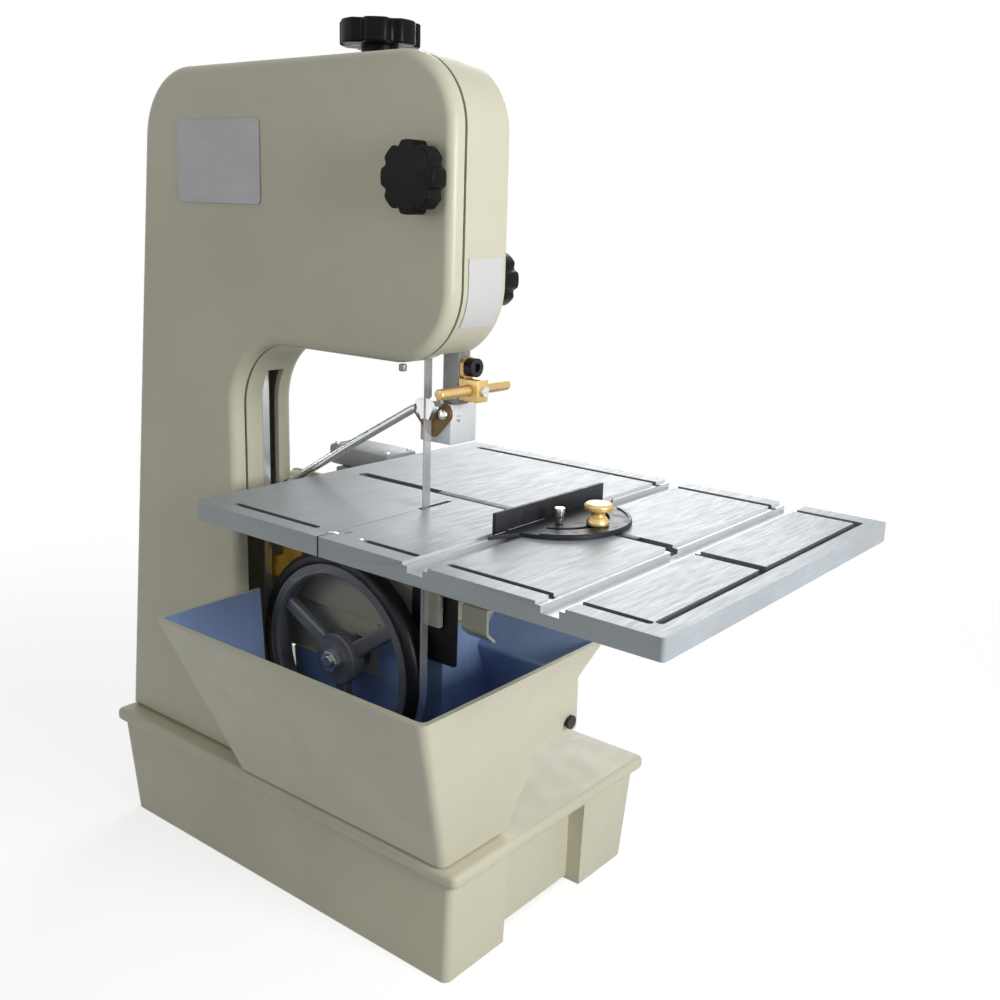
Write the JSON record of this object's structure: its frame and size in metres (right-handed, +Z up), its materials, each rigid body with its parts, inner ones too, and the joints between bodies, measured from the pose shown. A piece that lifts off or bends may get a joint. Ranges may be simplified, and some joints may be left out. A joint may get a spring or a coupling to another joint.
{
  "type": "band saw",
  "caption": "Bench-top band saw: C-shaped beige frame with cover, two tyred wheels, water tray, hollow base and grooved overhanging table with mitre gauge.",
  "frame": {"origin": "on the floor, under the middle of the bounding box", "axes": "+X from the column towards the arm end and the overhanging table, +Y from the wheel cover to the rear, +Z up"},
  "size_m": [0.61, 0.332, 0.691],
  "materials": {
    "base_paint": "fine-textured beige enamel",
    "beige_paint": "satin beige enamel on a casting",
    "cover_paint": "satin beige enamel",
    "tray_paint": "beige outside, blue inside",
    "table_metal": "ground and clear-anodised",
    "cast_metal": "cast, machined on the rim",
    "steel": "ground",
    "bright_steel": "bright",
    "dark_steel": "oil-blackened",
    "brass": "turned and milled",
    "black_plastic": "glossy black phenolic",
    "black_paint": "satin black",
    "rubber": "matt black",
    "grey_paint": "light grey enamel",
    "yellow_plastic": "yellow moulding",
    "label_white": "blank white film"
  },
  "bodies": {
    "root": {"base_shell": "base_paint", "water_tray": "tray_paint", "frame_casting": "beige_paint", "blank_label": "label_white", "lower_bearing_front": "steel", "lower_bearing_rear": "steel", "drive_belt": "rubber", "motor_body": "grey_paint", "motor_fan_cover": "black_paint", "terminal_box": "grey_paint", "motor_plate": "beige_paint", "tension_spring": "dark_steel", "post_guide": "cast_metal", "coolant_tube": "bright_steel", "saw_blade": "bright_steel", "table": "table_metal", "table_bracket": "beige_paint", "lower_guide_bracket": "beige_paint", "drain_spout": "beige_paint", "splash_flap": "rubber", "wheel_scraper": "yellow_plastic", "switch_box": "black_plastic", "cable_gland": "black_plastic"},
    "cover": {"front_cover": "cover_paint", "nameplate": "bright_steel", "cover_pin": "bright_steel"},
    "cover_knob_body": {"cover_knob": "black_plastic"},
    "drain_plug_body": {"drain_plug": "rubber"},
    "lower_wheel_set": {"lower_wheel": "cast_metal", "lower_tyre": "rubber", "lower_shaft": "steel", "lower_hub_nut": "bright_steel", "driven_pulley": "cast_metal"},
    "motor_rotor": {"motor_pulley": "cast_metal", "motor_shaft": "steel"},
    "tension_carriage": {"tension_slide": "cast_metal", "upper_axle": "steel", "upper_bearing": "steel", "upper_hub_nut": "bright_steel"},
    "upper_wheel_set": {"upper_wheel": "cast_metal", "upper_tyre": "rubber"},
    "tension_screw": {"tension_knob": "black_plastic"},
    "guide_carrier": {"guide_post": "steel", "guide_block": "table_metal", "guide_plate": "brass", "guide_jaw_left": "bright_steel", "guide_jaw_right": "bright_steel", "jaw_screw_left": "bright_steel", "jaw_screw_right": "bright_steel", "rod_clamp": "brass", "clamp_screw": "black_paint", "rod_set_screw": "bright_steel"},
    "guide_rod": {"brass_rod": "brass"},
    "lock_knob_body": {"post_lock_knob": "black_plastic"},
    "mitre_bar_body": {"mitre_bar": "black_paint"},
    "mitre_head_body": {"mitre_head": "black_paint", "mitre_fence": "black_paint", "mitre_pin": "bright_steel"},
    "mitre_knob_body": {"mitre_knob": "brass"},
    "switch_rocker_body": {"switch_rocker": "black_plastic"}
  },
  "joints": [
    {"name": "cover_pull", "type": "slide", "parent": "root", "child": "cover", "axis": [0, -1, 0], "range_m": [0, 0.09]},
    {"name": "cover_knob_turn", "type": "hinge", "parent": "cover", "child": "cover_knob_body", "pos_m": [0.066, -0.089, 0.578], "axis": [0, -1, 0], "range_deg": [-720, 720]},
    {"name": "drain_plug_pull", "type": "slide", "parent": "root", "child": "drain_plug_body", "axis": [1, 0, 0], "range_m": [0, 0.02]},
    {"name": "lower_wheel_spin", "type": "hinge", "parent": "root", "child": "lower_wheel_set", "pos_m": [-0.053, -0.0465, 0.201], "axis": [0, 1, 0], "continuous": true},
    {"name": "motor_spin", "type": "hinge", "parent": "root", "child": "motor_rotor", "pos_m": [-0.157, 0.041, 0.265], "axis": [0, 1, 0], "continuous": true},
    {"name": "upper_wheel_spin", "type": "hinge", "parent": "tension_carriage", "child": "upper_wheel_set", "pos_m": [-0.053, -0.0465, 0.557], "axis": [0, 1, 0], "continuous": true},
    {"name": "tension_turn", "type": "hinge", "parent": "root", "child": "tension_screw", "pos_m": [-0.053, -0.006, 0.674], "axis": [0, 0, 1], "range_deg": [-1440, 0]},
    {"name": "tension_lift", "type": "slide", "parent": "root", "child": "tension_carriage", "axis": [0, 0, 1], "range_m": [-0.006, 0]},
    {"name": "guide_post_lift", "type": "slide", "parent": "root", "child": "guide_carrier", "axis": [0, 0, 1], "range_m": [-0.028, 0.003]},
    {"name": "lock_knob_turn", "type": "hinge", "parent": "root", "child": "lock_knob_body", "pos_m": [0.0515, -0.008, 0.511], "axis": [0, 1, 0], "range_deg": [-720, 720]},
    {"name": "guide_rod_slide", "type": "slide", "parent": "guide_carrier", "child": "guide_rod", "axis": [0, 1, 0], "range_m": [-0.02, 0.02]},
    {"name": "mitre_slide", "type": "slide", "parent": "root", "child": "mitre_bar_body", "axis": [1, 0, 0], "range_m": [-0.04, 0.085]},
    {"name": "mitre_swivel", "type": "hinge", "parent": "mitre_bar_body", "child": "mitre_head_body", "pos_m": [0.125, -0.0045, 0.345], "axis": [0, 0, 1], "range_deg": [-30, 30]},
    {"name": "mitre_knob_turn", "type": "hinge", "parent": "mitre_bar_body", "child": "mitre_knob_body", "pos_m": [0.1615, -0.0045, 0.3487], "axis": [0, 0, 1], "range_deg": [-360, 360]},
    {"name": "rocker_tilt", "type": "hinge", "parent": "root", "child": "switch_rocker_body", "pos_m": [-0.215, 0.0075, 0.426], "axis": [1, 0, 0], "range_deg": [0, 16]}
  ],
  "couplings": [
    {"joint": "motor_spin", "follows": "lower_wheel_spin", "ratio": 2.25},
    {"joint": "upper_wheel_spin", "follows": "lower_wheel_spin", "ratio": 1},
    {"joint": "tension_turn", "follows": "tension_lift", "rad_per_m": 4188.8}
  ]
}
